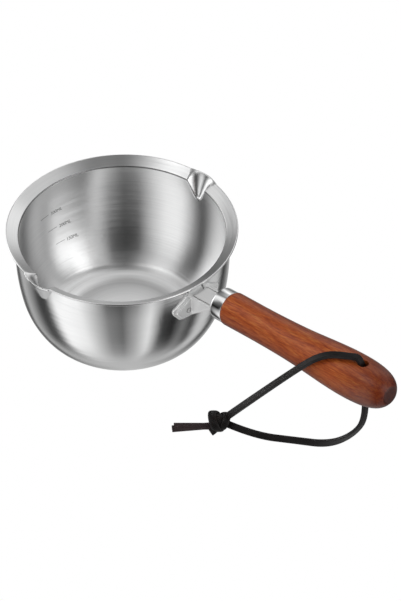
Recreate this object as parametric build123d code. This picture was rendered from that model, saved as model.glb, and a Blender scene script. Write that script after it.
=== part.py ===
# Small stainless milk pan with two pouring spouts and a turned wooden handle
#
# Millimetres. The origin is the centre of the underside of the base, Z is up and the
# handle points along +X, so the spouts open towards +Y and -Y.
import math
import os

from build123d import *

# Bowl
rim_diameter = 120.0
rim_height = 64.6
rim_rise = 3.5                # how far the flange climbs from the mouth to its edge
flange_width = 6.3            # seen from above, from the mouth to the rim
belly_swell = 2.1             # the wall's widest outside radius is this much over the mouth's
belly_drop = 15.8             # the wall is widest this far below the rim
wall_run = 16.3               # from the ring round the foot out to the widest place
sheet = 1.0
foot_ring_width = 9.5         # the foot that the pan stands on lies within this ring
foot_step = 0.9               # how far the ring is lifted
foot_slope_run = 4.0
foot_bend_radius = 1.6
base_bend_radius = 2.6
mouth_bend_radius = 0.7
rim_edge_share = 0.42         # of the sheet, rounded on both edges of the rim
wall_shares = ((0.8625, 0.5050), (0.4940, 0.1730), (0.0930, 0.0130))

# Spouts
spout_chord = 17.4            # width of the notch in the rim
spout_mouth_width = 12.4      # width of the notch in the edge of the mouth
spout_tip_width = 3.2
spout_tip_depth = 1.2
spout_tip_step = 0.8          # how far the blunt tip is pressed out of the wall
spout_reach = 1.2             # how far the lip stands out past the rim
spout_dip = 0.7               # how far the middle of the lip lies below the rim
spout_depth = 13.6            # from the rim down to the tip on the wall

# Handle axis
handle_tilt = 6.57            # degrees above level
ferrule_gap = 12.0            # from the rim to the front of the ferrule
ferrule_drop = 6.2            # from the rim's height down to the handle axis there

# Bracket
bracket_sheet = 1.2
neck_width = 12.6
neck_drop = 1.0               # the neck lies this far below the handle axis
neck_flat = 2.0               # level stretch of its floor beside the ferrule
neck_depth_at_wall = 12.6
ear_span = 34.4               # across both ears, before their tips are rounded
ear_tip_drop = 15.0           # the ears' heights are measured down from the rim
ear_bottom_drop = 21.4
ear_bottom_half_width = 12.4
ear_top_drop = 8.2
ear_top_half_width = 7.6
ear_corner_radius = 2.6
ear_bulge = 0.9               # pressed up from the sheet
ear_margin = 1.5
weld_diameter = 2.4
weld_half_spacing = 7.6
weld_drop = 16.0
weld_gap = 0.15

# Tang
strap_thickness = 1.6
strap_gap = 0.5               # beside each cheek of the bracket
strap_proud_cheek = 0.2       # the cheeks stand above the strap by this
strap_foot = 6.5              # turned down along the pan wall
strap_bend_radius = 2.6
rod_diameter = 5.0
rod_length = 35.0
rod_chamfer = 0.8

# Ferrule
ferrule_diameter = 17.2
ferrule_length = 8.2
ferrule_wall = 0.8
ferrule_front_radius = 2.0
rod_clearance = 0.15

# Wooden handle
wood_length = 107.9           # beyond the ferrule
wood_start_diameter = 17.9
wood_edge_radius = 0.9
wood_neck_diameter = 17.8
wood_swell_diameter = 23.3
wood_end_diameter = 9.0
glue_gap = 0.1
grip_shares = ((0.18, 0.0), (0.325, 0.08), (0.465, 0.30), (0.602, 0.69), (0.765, 1.0))
crown_shares = ((0.852, 0.975), (0.926, 0.865), (0.978, 0.63))
end_lean_shares = (0.60, -1.0)
lace_hole_diameter = 5.0
lace_hole_margin = 16.9       # from the lace hole to the end of the wood
lace_hole_round = 0.6
bore_spare_depth = 3.0

# Threaded insert in the wood
insert_diameter = 8.0
insert_length = 15.0
insert_ridge = 0.5
insert_ridges = 4

# Lace
lace_width = 3.7
lace_thickness = 1.9
lace_floor_gap = 0.1
knot_length = 10.0
knot_width = 11.0
knot_height = 8.0
knot_round = 2.4
knot_place = (92.6, -22.2, 0)
tail_length = 25.0
tail_seat = 2.5               # the part of a tail that is held in the knot
tail_step = 1.2               # the upper tail is set over and ends this much later
tail_turn = -135              # degrees, heading of the tails seen from above
lace_top_height = 14.4        # top of its bend over the handle axis
run_share = 0.45
lace_rising_points = (
    (97.2, -20.1, 9.2), (141.5, -13.4, 71.0), (150.6, -6.7, 80.9), (160.5, -1.5, 84.0),
)
lace_falling_points = (
    (173.0, 0, 47.5), (163.5, 0, 28.8), (147.5, -0.2, 9.6),
    (129.5, -4.2, 1.95), (112.5, -15.8, 1.95), (98.0, -18.6, 2.6),
)

# Shared by every cut
overrun = 2.0
pick_range = 0.15             # an edge within this of its expected place is the one meant
least_edge = 0.001            # shorter ones are dropped from an offset line
middle_share = 0.5
seam_turn = 135               # degrees

rim_radius = rim_diameter / 2
mouth_radius = rim_radius - flange_width
belly_radius = mouth_radius + belly_swell
belly_height = rim_height - belly_drop
base_radius = belly_radius - wall_run
foot_radius = base_radius - foot_ring_width
flange_slope = math.atan2(rim_rise, flange_width)
flange_inner_radius = rim_radius - sheet * math.sin(flange_slope)

lace_hole_distance = wood_length - lace_hole_margin

tilt = math.radians(handle_tilt)
ferrule_distance = rim_radius + ferrule_gap
handle_frame = Plane(
    origin=(ferrule_distance, 0, rim_height - ferrule_drop),
    x_dir=(math.cos(tilt), 0, math.sin(tilt)),
    z_dir=(-math.sin(tilt), 0, math.cos(tilt)),
)


def on_handle(shape):
    """Move a shape drawn along the handle axis, front of the ferrule at zero, into place."""
    return handle_frame.location * shape


flange_edge = (rim_radius, 0, rim_height - sheet * math.cos(flange_slope))
outer_mouth_radius = mouth_radius + sheet
outer_mouth_drop = (rim_radius - outer_mouth_radius) * math.tan(flange_slope)
outer_mouth = (outer_mouth_radius, 0, flange_edge[2] - outer_mouth_drop)


def wall_arcs():
    """Bulging wall from the ring round the foot up to the mouth, as arcs in the XZ plane."""
    span = belly_radius - base_radius
    rise = belly_height - foot_step
    belly = (belly_radius, 0, belly_height)
    arcs = [TangentArc(belly, outer_mouth, tangent=(0, 0, 1))]
    start = belly
    heading = (0, 0, -1)
    for along_radius, along_height in wall_shares:
        point = (base_radius + along_radius * span, 0, foot_step + along_height * rise)
        arc = TangentArc(start, point, tangent=heading)
        arcs.append(arc)
        start = point
        heading = arc % 1
    return arcs


def wall_path():
    """Outer line of the pressed sheet in the XZ plane, from the axis to the rim edge."""
    arcs = wall_arcs()
    ring_start = (foot_radius + foot_slope_run, 0, foot_step)
    ring_end = (base_radius, 0, foot_step)
    edges = [
        Line((0, 0, 0), (foot_radius, 0, 0)),
        Line((foot_radius, 0, 0), ring_start),
        Line(ring_start, ring_end),
        Line(ring_end, arcs[-1] @ 1),
        *arcs,
        Line(outer_mouth, flange_edge),
    ]
    return Wire(edges)


def corner(wire, x, z):
    """The vertex of a wire in the XZ plane that lies closest to a point."""
    return wire.vertices().sort_by_distance((x, 0, z))[0]


def rounded_wall_path():
    """The sheet's outer line with its pressed bends."""
    path = wall_path()
    foot = corner(path, foot_radius, 0)
    ring = corner(path, foot_radius + foot_slope_run, foot_step)
    path = path.fillet_2d(foot_bend_radius, [foot, ring])
    path = path.fillet_2d(base_bend_radius, [corner(path, base_radius, foot_step)])
    mouth = corner(path, outer_mouth_radius, outer_mouth[2])
    return path.fillet_2d(mouth_bend_radius, [mouth])


def beside(path, distance, side):
    """A line at an even distance beside a path, drawn anew as plain lines and arcs."""
    edges = []
    for edge in path.offset_2d(distance, side=side, closed=False).edges():
        if edge.length < least_edge:
            continue
        if edge.geom_type == GeomType.LINE:
            edges.append(Line(edge @ 0, edge @ 1))
        else:
            edges.append(ThreePointArc(edge @ 0, edge @ middle_share, edge @ 1))
    return Wire(edges)


def turned(outline):
    """Solid turned about Z, with its seam between the spouts and the handle."""
    return Rot(0, 0, seam_turn) * revolve(make_face(outline), Axis.Z)


def pan_body():
    """The pan as a filled solid, without its spouts."""
    inner_edge = rim_radius - sheet * math.sin(flange_slope)
    path = rounded_wall_path()
    lid = Polyline(flange_edge, (inner_edge, 0, rim_height), (0, 0, rim_height), (0, 0, 0))
    return turned(Wire([*path.edges(), *lid.edges()]))


def pan_cavity():
    """Everything inside the sheet, open above the rim."""
    lining = beside(rounded_wall_path(), sheet, Side.RIGHT)
    end = lining.vertices().sort_by(Axis.X)[-1].center()
    above = rim_height + overrun
    lid = Polyline(end, (end.X, 0, above), (0, 0, above), (0, 0, sheet))
    return turned(Wire([*lining.edges(), *lid.edges()]))


def skin(thickness):
    """Filled wall grown outwards by a thickness, for what hugs the outside of the pan."""
    grown = beside(Wire(wall_arcs()), thickness, Side.LEFT)
    corners = grown.vertices().sort_by(Axis.Z)
    low = corners[0].center()
    high = corners[-1].center()
    lid = Polyline(high, (0, 0, high.Z), (0, 0, low.Z), low)
    return turned(Wire([*grown.edges(), *lid.edges()]))


def groove_section(half_width, depth, grown, top):
    """Section across the groove: an arc with upright sides over it, closed at the top."""
    radius = (half_width ** 2 + depth ** 2) / (2 * depth)
    growth = (radius + grown) / radius
    reach = growth * half_width
    side_start = radius - growth * abs(radius - depth)
    arc = ThreePointArc((-reach, side_start), (0, -grown), (reach, side_start))
    lid = Polyline((reach, side_start), (reach, top), (-reach, top), (-reach, side_start))
    return make_face(Wire([*arc.edges(), *lid.edges()]))


def spout_groove(grown, end_overrun, headroom):
    """Groove of the +Y spout as a loft along its bottom line, from its blunt tip on the wall
    to the lip. It is deep and narrow at the mouth's edge, and wide and shallow at the rim."""
    tip = Vector(0, belly_radius - sheet + spout_tip_step, rim_height - spout_depth)
    lip = Vector(0, rim_radius + spout_reach, rim_height - spout_dip)
    bottom = (lip - tip).normalized()
    inward = Vector(1, 0, 0).cross(bottom)
    stations = [(-grown, spout_tip_width / 2, spout_tip_depth)]
    for radius, width in ((mouth_radius, spout_mouth_width), (rim_radius, spout_chord)):
        height = rim_height - (flange_inner_radius - radius) * math.tan(flange_slope)
        height = min(height, rim_height)
        crease = Vector(0, math.sqrt(radius ** 2 - (width / 2) ** 2), height) - tip
        stations.append((crease.dot(bottom), width / 2, crease.dot(inward)))
    if end_overrun:
        stations.append((stations[-1][0] + end_overrun, *stations[-1][1:]))
    sections = []
    for along, half_width, depth in stations:
        plane = Plane(origin=tip + bottom * along, x_dir=(-1, 0, 0), z_dir=bottom)
        top = max(depth, headroom)
        sections.append(plane * groove_section(half_width, depth, grown, top))
    return loft(sections)


def on_both_sides(shape):
    """The shape and its mirror image across the handle's plane."""
    return shape + mirror(shape, about=Plane.XZ)


def make_bowl():
    """Pressed bowl with its flange, lifted ring round the foot and two spouts."""
    cavity = pan_cavity()
    bowl = pan_body() - cavity
    rim_edges = bowl.edges().filter_by(GeomType.CIRCLE).group_by(SortBy.RADIUS)[-1]
    rim_edges += bowl.edges().filter_by(GeomType.CIRCLE).sort_by(Axis.Z)[-1:]
    bowl = fillet(rim_edges, rim_edge_share * sheet)
    channel = spout_groove(0, overrun, spout_depth)
    shell = spout_groove(sheet, 0, 0) - cavity
    bowl += on_both_sides(shell)
    bowl -= on_both_sides(channel)
    return bowl


def neck_block(inset):
    """Wedge of the bracket's neck in the handle frame, shrunk by a sheet thickness."""
    top = strap_thickness / 2 + strap_proud_cheek - neck_drop
    floor = -strap_thickness / 2 - neck_drop - bracket_sheet
    reach = ferrule_distance - belly_radius + overrun + neck_depth_at_wall * math.tan(tilt)
    fall = (neck_depth_at_wall + floor) / (ferrule_distance - belly_radius - neck_flat)
    shift = inset / math.cos(math.atan(fall))
    low = floor - fall * (reach - neck_flat)
    spare = overrun if inset else 0
    bend_x = -neck_flat - (shift - inset) / fall
    outline = Polyline(
        (spare, 0, top + spare), (spare, 0, floor + inset), (bend_x, 0, floor + inset),
        (-reach, 0, low + shift), (-reach, 0, top + spare), close=True,
    )
    width = neck_width - 2 * inset
    block = extrude(make_face(outline), amount=width / 2, both=True, dir=(0, 1, 0))
    floor_edges = [
        edge for edge in block.edges()
        if edge.center().Z < floor + inset + strap_thickness / 2
        and abs(abs(edge.center().Y) - width / 2) < pick_range
        and abs(edge.tangent_at().X) > abs(edge.tangent_at().Y)
        and edge.center().X > -reach + overrun
    ]
    return fillet(floor_edges, bracket_sheet + strap_gap - inset)


def ear_outline(inset):
    """Outline of both ears seen along the handle, shrunk evenly by an inset."""
    top = rim_height - ear_top_drop
    tip = rim_height - ear_tip_drop
    bottom = rim_height - ear_bottom_drop
    half = [
        (0, bottom), (ear_bottom_half_width, bottom), (ear_span / 2, tip),
        (ear_top_half_width, top), (0, top),
    ]
    mirrored = [(-y, z) for y, z in reversed(half[1:-1])]
    outline = Plane.YZ * make_face(Polyline(*half, *mirrored, close=True))
    corners = [v for v in outline.vertices() if abs(v.Y) > ear_margin]
    outline = fillet(corners, ear_corner_radius)
    if inset:
        outline = offset(outline, -inset)
    return extrude(outline, amount=rim_radius, dir=(1, 0, 0))


def weld_cylinder(diameter):
    """Cylinder across the sheet of the +Y ear at its weld, square to the wall."""
    turn = math.asin(weld_half_spacing / belly_radius)
    place = Plane(
        origin=(0, 0, rim_height - weld_drop),
        x_dir=(0, 0, 1),
        z_dir=(math.cos(turn), math.sin(turn), 0),
    )
    bar = Cylinder(diameter / 2, rim_radius, align=(Align.CENTER, Align.CENTER, Align.MIN))
    return place.location * bar


def make_bracket(body):
    """Pressed cradle: a channel that deepens towards the pan and ends in two ears."""
    sheet_layer = skin(bracket_sheet) & ear_outline(0)
    bulge_layer = skin(bracket_sheet + ear_bulge) & ear_outline(ear_margin)
    bracket = on_handle(neck_block(0)) + sheet_layer + bulge_layer
    bracket -= on_handle(neck_block(bracket_sheet))
    bracket -= body
    bracket -= on_both_sides(weld_cylinder(weld_diameter))
    return bracket


def make_welds(body):
    """Weld nuggets that fill the holes of both ears, from the pan wall to the ear face."""
    across = skin(bracket_sheet + ear_bulge) - body
    return on_both_sides(weld_cylinder(weld_diameter - 2 * weld_gap) & across)


def make_tang(body):
    """Strap that lies in the cradle, with a foot down the wall and a round threaded rod."""
    width = neck_width - 2 * bracket_sheet - 2 * strap_gap
    sag = belly_radius - math.sqrt(belly_radius ** 2 - (width / 2) ** 2)
    foot_x = belly_radius - sag + strap_thickness / 2
    front = handle_frame.from_local_coords(Vector(0, 0, -neck_drop))
    knee = front - handle_frame.x_dir * ((front.X - foot_x) / math.cos(tilt))
    toe = Vector(foot_x, 0, knee.Z - strap_foot)
    middle = FilletPolyline(front, knee, toe, radius=strap_bend_radius)
    side = Wire(middle.edges()).offset_2d(strap_thickness / 2, side=Side.BOTH)
    strap = extrude(make_face(side), amount=width / 2, both=True, dir=(0, 1, 0))
    beyond = Box(
        rod_length, neck_width, neck_width, align=(Align.MIN, Align.CENTER, Align.CENTER),
    )
    strap -= on_handle(beyond)
    rod = Rot(0, 90, 0) * Cylinder(
        rod_diameter / 2, rod_length, align=(Align.CENTER, Align.CENTER, Align.MIN),
    )
    tip = rod.edges().sort_by(Axis.X)[-1]
    rod = chamfer(tip, rod_chamfer)
    return (strap - body) + on_handle(rod)


def turned_on_handle(points):
    """Solid turned about the handle axis from distances along it and radii."""
    outline = make_face(Polyline(*[(x, y, 0) for x, y in points], close=True))
    return revolve(outline, Axis.X)


def make_ferrule():
    """Drawn cup with a rounded front and a hole for the rod."""
    outer = ferrule_diameter / 2
    inner = outer - ferrule_wall
    hole = rod_diameter / 2 + rod_clearance
    cup = turned_on_handle([
        (0, hole), (0, outer), (ferrule_length, outer), (ferrule_length, inner),
        (ferrule_wall, inner), (ferrule_wall, hole),
    ])
    circles = cup.edges().filter_by(GeomType.CIRCLE)
    front = circles.sort_by(Axis.X)[:2].sort_by(SortBy.RADIUS)[-1]
    cup = fillet(front, ferrule_front_radius)
    back = cup.edges().filter_by(GeomType.CIRCLE)
    back = back.filter_by_position(Axis.X, ferrule_wall, ferrule_wall + pick_range)
    cup = fillet(back.sort_by(SortBy.RADIUS)[-1], ferrule_front_radius - ferrule_wall)
    return on_handle(cup)


def along_handle(radius, length):
    """Cylinder about the handle axis, from the front of the ferrule."""
    bar = Cylinder(radius, length, align=(Align.CENTER, Align.CENTER, Align.MIN))
    return Rot(0, 90, 0) * bar


def make_wooden_handle():
    """Turned handle: spigot, slim neck, swelling grip and a rounded end with a flat disc."""
    spigot = ferrule_diameter / 2 - ferrule_wall - glue_gap
    spigot_front = ferrule_wall + glue_gap
    start = wood_start_diameter / 2
    neck = wood_neck_diameter / 2
    swell = wood_swell_diameter / 2
    end = ferrule_length + wood_length
    shoulder_top = (ferrule_length + wood_edge_radius, start)
    shoulder_foot = (ferrule_length, start - wood_edge_radius)
    grip = [shoulder_top]
    for along, growth in grip_shares:
        grip.append((ferrule_length + along * wood_length, neck + growth * (swell - neck)))
    for along, of_swell in crown_shares:
        grip.append((ferrule_length + along * wood_length, of_swell * swell))
    grip.append((end, wood_end_diameter / 2))
    nose = ferrule_front_radius - ferrule_wall
    nose_foot = (spigot_front, spigot - nose)
    nose_top = (spigot_front + nose, spigot)
    outline = [
        RadiusArc(shoulder_foot, shoulder_top, wood_edge_radius),
        Spline(*grip, tangents=[(wood_length, 0), end_lean_shares]),
        *Polyline(grip[-1], (end, 0), (spigot_front, 0), nose_foot).edges(),
        RadiusArc(nose_foot, nose_top, nose),
        *Polyline(nose_top, (ferrule_length, spigot), shoulder_foot).edges(),
    ]
    handle = revolve(make_face(Wire(outline)), Axis.X)
    insert_end = spigot_front + insert_length + glue_gap
    handle -= along_handle(insert_diameter / 2, insert_end)
    handle -= along_handle(rod_diameter / 2 + rod_clearance, rod_length + bore_spare_depth)
    hole = Cylinder(lace_hole_diameter / 2, rim_diameter)
    handle -= Pos(ferrule_length + lace_hole_distance, 0, 0) * hole
    mouths = [
        edge for edge in handle.edges()
        if abs(edge.center().X - ferrule_length - lace_hole_distance) < lace_hole_diameter
        and abs(edge.center().Z) > swell / 2
        and edge.geom_type != GeomType.LINE
    ]
    return on_handle(fillet(mouths, lace_hole_round))


def make_insert():
    """Threaded brass insert with ridges that bite the wood."""
    start = ferrule_wall + glue_gap
    core = insert_diameter / 2 - insert_ridge
    pitch = insert_length / insert_ridges
    sleeve = along_handle(core, insert_length)
    for turn in range(insert_ridges):
        ridge = along_handle(insert_diameter / 2 - glue_gap, pitch / 2)
        sleeve += Pos(turn * pitch, 0, 0) * ridge
    sleeve -= along_handle(rod_diameter / 2 + rod_clearance / 2, insert_length)
    return on_handle(Pos(start, 0, 0) * sleeve)


def lace_path():
    """Route of the lace from the knot over the handle, down its hole and back, in order."""
    hole = Vector(ferrule_length + lace_hole_distance, 0, 0)
    top = handle_frame.from_local_coords(hole + Vector(0, 0, lace_top_height))
    rising = [Vector(point) for point in lace_rising_points]
    falling = [Vector(point) for point in lace_falling_points]
    return [*rising, top, *falling]


def lace_radii(points):
    """Largest arc at each corner: 0.45 of the shorter run over the tangent of half the turn."""
    radii = []
    for before, here, after in zip(points, points[1:], points[2:]):
        turn = (here - before).get_angle(after - here)
        shorter = min((here - before).length, (after - here).length)
        radii.append(run_share * shorter / math.tan(math.radians(turn / 2)))
    return radii


def make_lace(points):
    """The free stretch of the lace as a tube of its width."""
    path = FilletPolyline(*points, radius=lace_radii(points))
    section = Plane(origin=path @ 0, z_dir=path % 0) * Circle(lace_width / 2)
    return sweep(section, path=path)


def knot_frame():
    """Middle of the knot on the floor, its X axis towards the tails."""
    turn = math.radians(tail_turn)
    return Plane(origin=knot_place, x_dir=(math.cos(turn), math.sin(turn), 0))


def make_tails():
    """Two flat tails that lie one on the other behind the knot."""
    tails = []
    for layer in range(2):
        strip = Box(
            tail_length, lace_width, lace_thickness,
            align=(Align.MIN, Align.CENTER, Align.MIN),
        )
        start = knot_length / 2 - tail_seat
        place = Pos(
            start - layer * tail_step, layer * tail_step,
            lace_floor_gap + layer * lace_thickness,
        )
        tails.append(knot_frame().location * (place * strip))
    return tails


def make_knot(lace, tails):
    """Overhand knot as a rounded block with sockets for the strands and the tails."""
    block = Box(
        knot_length, knot_width, knot_height, align=(Align.CENTER, Align.CENTER, Align.MIN),
    )
    block = fillet(block.edges(), knot_round)
    knot = knot_frame().location * (Pos(0, 0, lace_floor_gap) * block)
    return (knot - tails[0] - tails[1]) - lace


def main():
    """Write one file for each piece."""
    os.makedirs("parts", exist_ok=True)
    body = pan_body()
    points = lace_path()
    lace = make_lace(points)
    tails = make_tails()
    pieces = {
        "pan_bowl": make_bowl(),
        "handle_bracket": make_bracket(body),
        "spot_welds": make_welds(body),
        "handle_tang": make_tang(body),
        "ferrule": make_ferrule(),
        "wooden_handle": make_wooden_handle(),
        "threaded_insert": make_insert(),
        "lace_loop": lace,
        "lace_knot": make_knot(lace, tails),
        "lace_tails": Compound(children=tails),
    }
    for name, shape in pieces.items():
        export_step(shape, f"parts/{name}.step")
    print("lace bend radii", [round(radius, 1) for radius in lace_radii(points)])


main()
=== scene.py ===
# %% [markdown]
# A small milk pan: a pressed steel bowl with two pouring spouts, a welded bracket, a steel
# ferrule, a turned wooden handle and a flat leather lace to hang it by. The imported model
# gives every size and place. This lesson dresses it: each piece that shows is made again
# as a smooth surface of the same size, and gets the finish of the real one.

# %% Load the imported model
import math

import bmesh
import bpy
import numpy as np
from mathutils import Matrix, Vector


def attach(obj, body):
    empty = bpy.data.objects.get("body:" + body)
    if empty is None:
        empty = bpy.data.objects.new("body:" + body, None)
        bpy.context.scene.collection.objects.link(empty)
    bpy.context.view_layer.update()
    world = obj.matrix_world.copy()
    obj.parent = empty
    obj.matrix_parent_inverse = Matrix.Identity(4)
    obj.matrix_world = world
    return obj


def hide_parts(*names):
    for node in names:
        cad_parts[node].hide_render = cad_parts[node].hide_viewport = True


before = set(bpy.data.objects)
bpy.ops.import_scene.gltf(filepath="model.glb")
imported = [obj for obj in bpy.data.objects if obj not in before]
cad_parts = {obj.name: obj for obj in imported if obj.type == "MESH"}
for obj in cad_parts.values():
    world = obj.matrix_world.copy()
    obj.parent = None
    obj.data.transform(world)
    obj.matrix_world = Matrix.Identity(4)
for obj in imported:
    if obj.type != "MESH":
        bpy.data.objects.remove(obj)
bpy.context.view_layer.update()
mm = 0.001


def new_object(name, data):
    """New object in the scene that holds the data."""
    holder = bpy.data.objects.new(name, data)
    bpy.context.scene.collection.objects.link(holder)
    return holder


# %% [markdown]
# The camera comes first, because everything else is judged through it. It looks down at
# the pan by 42 degrees from the side that the lace lies on, with a long lens, so the rim
# is nearly a true ellipse.

# %% Camera
view_azimuth = math.radians(45.5)
view_elevation = math.radians(41.97)
view_roll = math.radians(-0.25)
camera_place = Vector((810.1, -739.4, 999.3)) * mm

camera = new_object("camera", bpy.data.cameras.new("camera"))
camera.data.lens = 166.8
camera.data.clip_end = 10
camera.matrix_world = (
    Matrix.Translation(camera_place) @ Matrix.Rotation(view_azimuth, 4, "Z")
    @ Matrix.Rotation(math.pi / 2 - view_elevation, 4, "X") @ Matrix.Rotation(view_roll, 4, "Z"))
bpy.context.scene.camera = camera
print("camera looks along", [round(-v, 4) for v in camera.matrix_world.col[2][:3]])

# %% [markdown]
# Every light and finish here is a graph of nodes. A few helpers keep the graphs short. What
# they are given is either a value to put into a socket or another socket to link to it.

# %% Helpers for nodes


def fill(tree, socket, value):
    """Put a number or colour into a socket, or link another socket to it."""
    if isinstance(value, bpy.types.NodeSocket):
        tree.links.new(value, socket)
    else:
        socket.default_value = value


def set_inputs(tree, node, **values):
    """Fill the node's inputs of the given names."""
    for title, value in values.items():
        fill(tree, node.inputs[title.replace("_", " ")], value)


def add(tree, kind, output=None, **values):
    """New node with its inputs filled by name, or the output of it that is asked for."""
    node = tree.nodes.new(kind)
    set_inputs(tree, node, **values)
    return node.outputs[output] if output else node


def calculate(tree, operation, *values, kind="ShaderNodeMath", output="Value"):
    """Result of one operation on numbers, in the order of the node's inputs."""
    node = add(tree, kind)
    node.operation = operation
    for socket, value in zip(node.inputs, values):
        fill(tree, socket, value)
    return node.outputs[output]


def vector_math(tree, operation, *values, output="Vector"):
    """Result of one operation on vectors, in the order of the node's inputs."""
    return calculate(tree, operation, *values, kind="ShaderNodeVectorMath", output=output)


def range_of(tree, value, low, high, start=0, end=1):
    """A value between start and end, spread between two limits."""
    return add(tree, "ShaderNodeMapRange", "Result", Value=value, From_Min=start, From_Max=end,
               To_Min=low, To_Max=high)


def mixed(tree, amount, first, second, way="MIX"):
    """First colour that turns into the second by an amount, or is multiplied by it."""
    blend = add(tree, "ShaderNodeMix")
    blend.data_type = "RGBA"
    blend.blend_type = way
    first, second = ((*c, 1) if isinstance(c, tuple) else c for c in (first, second))
    set_inputs(tree, blend, Factor=amount, A=first, B=second)
    return blend.outputs["Result"]


def mixed_shaders(tree, amount, first, second):
    """First shader that turns into the second by an amount."""
    choose = add(tree, "ShaderNodeMixShader", Fac=amount)
    tree.links.new(first, choose.inputs[1])
    tree.links.new(second, choose.inputs[2])
    return choose.outputs["Shader"]


def colour_ramp(tree, place, stops):
    """Colour at a place from 0 to 1 on a ramp of positions and colours."""
    ramp = add(tree, "ShaderNodeValToRGB", Fac=place)
    elements = ramp.color_ramp.elements
    while len(elements) < len(stops):
        elements.new(0.5)
    for element, (position, colour) in zip(elements, stops):
        element.position = position
        element.color = (*colour, 1)
    return ramp.outputs["Color"]


def grey_ramp(tree, value, start, end, tones):
    """Grey tone at a value, from pairs of values between start and end and their tones."""
    return colour_ramp(tree, range_of(tree, value, 0, 1, start, end), [
        ((place - start) / (end - start), (tone, tone, tone)) for place, tone in tones])


# %% [markdown]
# Polished steel shows what stands round it, so the studio matters as much as the metal.
# Soft boxes of several heights stand round the pan, and the dark gaps between them give
# the steel its bands. The world shader holds the studio as four ramps over the compass,
# one for each height, blended into each other. The table below is an even grey, and the
# zenith is dark. The camera itself sees plain white.

# %% Studio
studio = bpy.data.worlds.new("studio")
bpy.context.scene.world = studio
bpy.context.scene.view_settings.view_transform = "Standard"
studio.use_nodes = True
tree = studio.node_tree
tree.nodes.clear()

tones_below = [
    (-180, 0.5), (-165, 0.3), (-150, 0.05), (-135, 0.05), (-120, 1.15), (-105, 1.1), (-90, 1.0),
    (-75, 0.6), (-60, 0.25), (-45, 0.15), (-30, 0.45), (-15, 0.9), (0, 0.05), (15, 0), (30, 0.2),
    (45, 0), (60, 0.65), (75, 0.6), (90, 0), (105, 0.2), (120, 0.45), (135, 0.6), (150, 0.35),
    (165, 0), (180, 0.5),
]
tones_level = [
    (-180, 1.6), (-165, 2.2), (-150, 1.5), (-135, 0), (-120, 0), (-105, 1.2), (-90, 1.2),
    (-75, 0.75), (-60, 0), (-30, 0), (-15, 0.5), (0, 0.9), (15, 1.6), (30, 2.0), (45, 0.6),
    (60, 0.2), (75, 0), (90, 0.1), (105, 0.6), (120, 0.05), (135, 0.3), (150, 0), (165, 0.35),
    (180, 1.6),
]
tones_above = [
    (-180, 0.2), (-165, 1.0), (-150, 0.8), (-135, 0.25), (-120, 0.1), (-90, 0.2), (-75, 0),
    (-45, 0), (-30, 0.05), (-15, 0.8), (0, 1.75), (15, 2.1), (30, 0.25), (45, 0), (60, 0.95),
    (75, 0.5), (90, 1.1), (105, 1.1), (120, 0.45), (135, 1.3), (150, 0.1), (165, 0), (180, 0.2),
]
tones_high = [
    (-180, 0.2), (-165, 0.85), (-150, 1.0), (-135, 1.7), (-120, 2.25), (-105, 2.05), (-90, 1.55),
    (-75, 1.25), (-60, 0.55), (-45, 0.4), (-30, 0.55), (-15, 0.65), (0, 0), (30, 0.05),
    (45, 0.45), (60, 1.0), (75, 0.5), (90, 0.1), (105, 0.5), (120, 2.1), (135, 0.15),
    (150, 0.75), (165, 0.55), (180, 0.2),
]

table_grey = (0.55, 0.55, 0.55)
zenith_dark = (0.0, 0.0, 0.0)

direction = add(tree, "ShaderNodeTexCoord", "Generated")
split = add(tree, "ShaderNodeSeparateXYZ", Vector=direction).outputs
compass = calculate(tree, "ARCTAN2", split["Y"], split["X"])
compass = calculate(tree, "DEGREES", compass)
sky = table_grey
for tones, start, end in (
    (tones_below, -84, -57), (tones_level, -40, 0), (tones_above, 0, 35), (tones_high, 35, 62),
    (None, 62, 90),
):
    upper = grey_ramp(tree, compass, -180, 180, tones) if tones else zenith_dark
    low, high = math.sin(math.radians(start)), math.sin(math.radians(end))
    sky = mixed(tree, range_of(tree, split["Z"], 0, 1, low, high), sky, upper)

light = add(tree, "ShaderNodeBackground", "Background", Color=sky)
seen_white = add(tree, "ShaderNodeBackground", "Background", Color=(1, 1, 1, 1))
camera_ray = add(tree, "ShaderNodeLightPath", "Is Camera Ray")
add(tree, "ShaderNodeOutputWorld", Surface=mixed_shaders(tree, camera_ray, light, seen_white))
print("studio of", len(tree.nodes), "nodes")

# %% [markdown]
# New pieces are grids of points that numpy works out as whole arrays. One helper turns
# any grid into a closed mesh. A row whose points all meet is a pole, and becomes a single
# point with a fan of triangles, so no face is crushed.

# %% Grids to meshes


def flat_piece(name, points, faces):
    """Object of a mesh with the given points and faces."""
    mesh = bpy.data.meshes.new(name)
    mesh.from_pydata(points.tolist(), [], faces)
    return new_object(name, mesh)


def merge_points(mesh, distance=0.002 * mm):
    """Merge points of a mesh that all but meet, and turn its faces outwards."""
    build = bmesh.new()
    build.from_mesh(mesh)
    bmesh.ops.remove_doubles(build, verts=build.verts, dist=distance)
    bmesh.ops.recalc_face_normals(build, faces=build.faces)
    build.to_mesh(mesh)
    build.free()


def smooth_piece(name, points, faces):
    """Object of a closed mesh that is shaded smooth."""
    piece = flat_piece(name, points, faces)
    merge_points(piece.data)
    piece.data.shade_smooth()
    return piece


def ring_faces(rows, columns):
    """Faces between the points of a grid, row by row. Its rows and columns both close."""
    index = np.arange(rows * columns).reshape(rows, columns)
    after = np.roll(index, -1, axis=1)
    return np.stack([index, after, np.roll(after, -1, axis=0), np.roll(index, -1, axis=0)], -1)


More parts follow.
